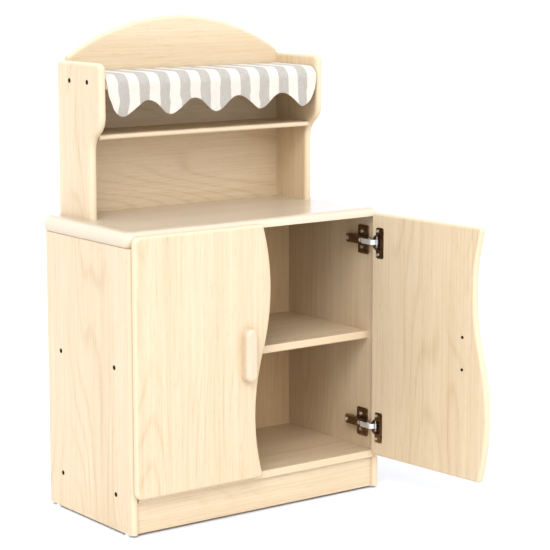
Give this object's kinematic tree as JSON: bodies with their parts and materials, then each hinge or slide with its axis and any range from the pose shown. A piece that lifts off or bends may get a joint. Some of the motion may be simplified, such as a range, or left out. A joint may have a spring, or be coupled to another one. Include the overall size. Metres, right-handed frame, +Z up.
{
  "type": "toy kitchen",
  "caption": "Child's play-kitchen dresser: a cupboard with wavy-edged doors on concealed hinges, a rolled-edge worktop, and a rack with an arched back, a shelf and a striped cloth awning.",
  "frame": {"origin": "on the floor, at the centre of the footprint at rest, with the right door open at its limit", "axes": "+Z up, -Y out of the front, towards the child, +X to the right as seen from the front"},
  "size_m": [0.6326, 0.6248, 0.9649],
  "materials": {
    "maple_laminate": "pale maple laminate on board, fine straight grain, satin",
    "worktop_laminate": "pale maple laminate, smooth, slightly glossier than the sides",
    "handle_maple": "solid maple, clear satin lacquer",
    "awning_cloth": "plain-weave cotton, off-white and warm grey stripes, lined",
    "hook_and_loop": "woven hook and loop tape, off-white",
    "hinge_bronze": "dark bronze plating on pressed steel",
    "hinge_nickel": "nickel-plated steel",
    "bright_screw": "zinc-plated steel",
    "dark_screw": "dark oxide steel",
    "beech_dowel": "bare beech",
    "glide_nylon": "pale grey nylon"
  },
  "bodies": {
    "cabinet": {"base_left_side": "maple_laminate", "base_right_side": "maple_laminate", "base_back": "maple_laminate", "base_bottom_shelf": "maple_laminate", "base_middle_shelf": "maple_laminate", "plinth": "maple_laminate", "hutch_left_side": "maple_laminate", "hutch_right_side": "maple_laminate", "hutch_back": "maple_laminate", "hutch_shelf": "maple_laminate", "awning_board": "maple_laminate", "worktop": "worktop_laminate", "awning_cloth": "awning_cloth", "awning_hook_strip": "hook_and_loop", "awning_loop_strip": "hook_and_loop", "left_upper_mounting_plate": "hinge_bronze", "left_upper_hinge_arm": "hinge_bronze", "left_lower_mounting_plate": "hinge_bronze", "left_lower_hinge_arm": "hinge_bronze", "right_upper_mounting_plate": "hinge_bronze", "right_upper_hinge_arm": "hinge_bronze", "right_lower_mounting_plate": "hinge_bronze", "right_lower_hinge_arm": "hinge_bronze", "mounting_plate_screws": "bright_screw", "hinge_arm_screws": "bright_screw", "hinge_arm_pins": "hinge_nickel", "base_side_screws": "dark_screw", "awning_board_screws": "dark_screw", "base_dowels": "beech_dowel", "hutch_dowels": "beech_dowel", "hutch_shelf_dowels": "beech_dowel", "glides": "glide_nylon"},
    "left_links": {"left_upper_hinge_link": "hinge_nickel", "left_lower_hinge_link": "hinge_nickel"},
    "left_door": {"left_door": "maple_laminate", "left_handle": "handle_maple", "left_handle_screws": "dark_screw", "left_upper_hinge_cup": "hinge_bronze", "left_lower_hinge_cup": "hinge_bronze", "left_cup_pins": "hinge_nickel", "left_cup_screws": "bright_screw"},
    "right_links": {"right_upper_hinge_link": "hinge_nickel", "right_lower_hinge_link": "hinge_nickel"},
    "right_door": {"right_door": "maple_laminate", "right_handle": "handle_maple", "right_handle_screws": "dark_screw", "right_upper_hinge_cup": "hinge_bronze", "right_lower_hinge_cup": "hinge_bronze", "right_cup_pins": "hinge_nickel", "right_cup_screws": "bright_screw"}
  },
  "joints": [
    {"name": "right_link_swing", "type": "hinge", "parent": "cabinet", "child": "right_links", "pos_m": [0.2615, 0.0145, 0.3255], "axis": [0, 0, -1], "range_deg": [-35.5, 0]},
    {"name": "right_door_swing", "type": "hinge", "parent": "right_links", "child": "right_door", "pos_m": [0.26547, -0.00491, 0.3255], "axis": [0, 0, 1], "range_deg": [-130.5, 0]},
    {"name": "left_link_swing", "type": "hinge", "parent": "cabinet", "child": "left_links", "pos_m": [-0.2865, 0.0145, 0.3255], "axis": [0, 0, 1], "range_deg": [0, 35.5]},
    {"name": "left_door_swing", "type": "hinge", "parent": "left_links", "child": "left_door", "pos_m": [-0.301, 0.001, 0.3255], "axis": [0, 0, -1], "range_deg": [0, 130.5]}
  ],
  "couplings": [
    {"joint": "right_link_swing", "follows": "right_door_swing", "ratio": 0.27203},
    {"joint": "left_link_swing", "follows": "left_door_swing", "ratio": 0.27203}
  ]
}
